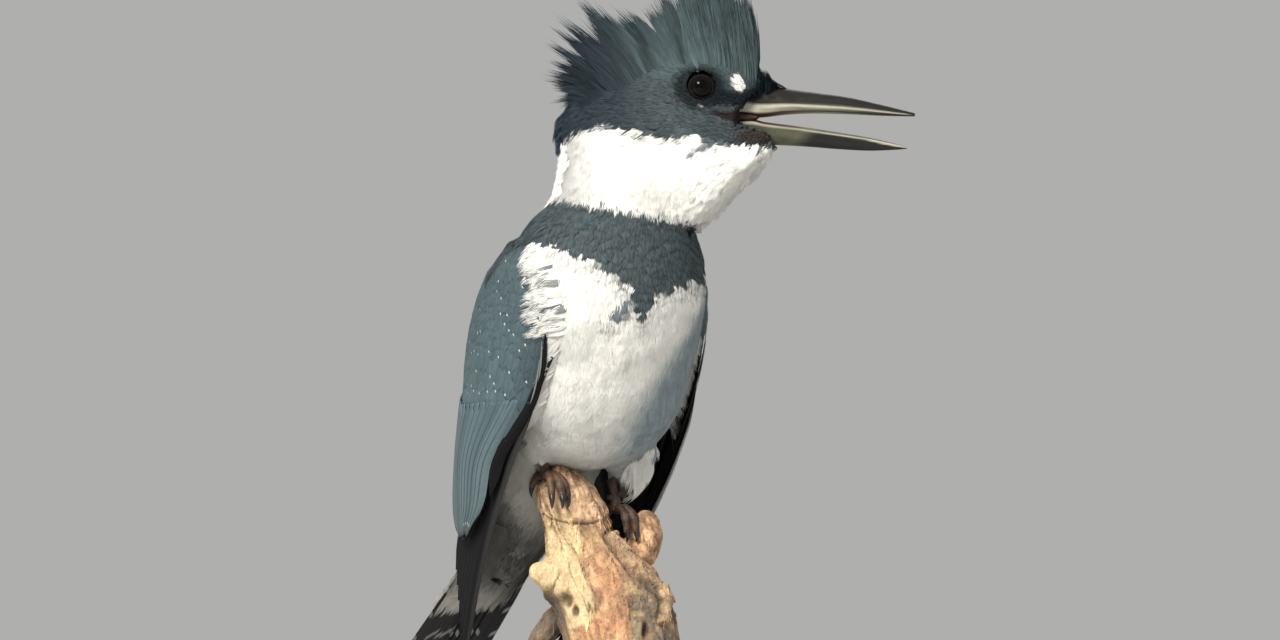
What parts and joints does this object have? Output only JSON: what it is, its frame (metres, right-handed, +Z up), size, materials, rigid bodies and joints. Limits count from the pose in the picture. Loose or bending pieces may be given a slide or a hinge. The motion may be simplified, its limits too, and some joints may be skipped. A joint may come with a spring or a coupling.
{
  "type": "male belted kingfisher on a display perch",
  "caption": "Life-size still model of a crested kingfisher with its bill open, gripping a broken dead branch that rods hold up on a flat round base.",
  "frame": {"origin": "centre of the flat underside of the display stand's round base", "axes": "+Z up; the bird's body faces -Y, +X is its left side, and its head is turned 52 degrees to its left"},
  "size_m": [0.1448, 0.2005, 0.33],
  "materials": {
    "slate_plumage": "matt feathers",
    "white_plumage": "matt feathers",
    "flight_feathers": "satin feathers",
    "horn": "satin",
    "eye": "wet gloss",
    "foot_skin": "matt, scaled",
    "dead_wood": "weathered",
    "rod_steel": "brushed",
    "base_wood": "dark satin lacquer"
  },
  "bodies": {
    "root": {"head": "slate_plumage", "crest": "slate_plumage", "neck": "white_plumage", "trunk": "white_plumage", "tail": "flight_feathers", "bill_upper": "horn", "bill_lower": "horn", "eye_right": "eye", "eye_left": "eye", "wing_right": "slate_plumage", "primaries_right": "flight_feathers", "wing_left": "slate_plumage", "primaries_left": "flight_feathers", "thigh_right": "white_plumage", "foot_right": "foot_skin", "thigh_left": "white_plumage", "foot_left": "foot_skin", "perch": "dead_wood", "stand_rod_right": "rod_steel", "stand_rod_left": "rod_steel", "stand_base": "base_wood"}
  },
  "joints": []
}
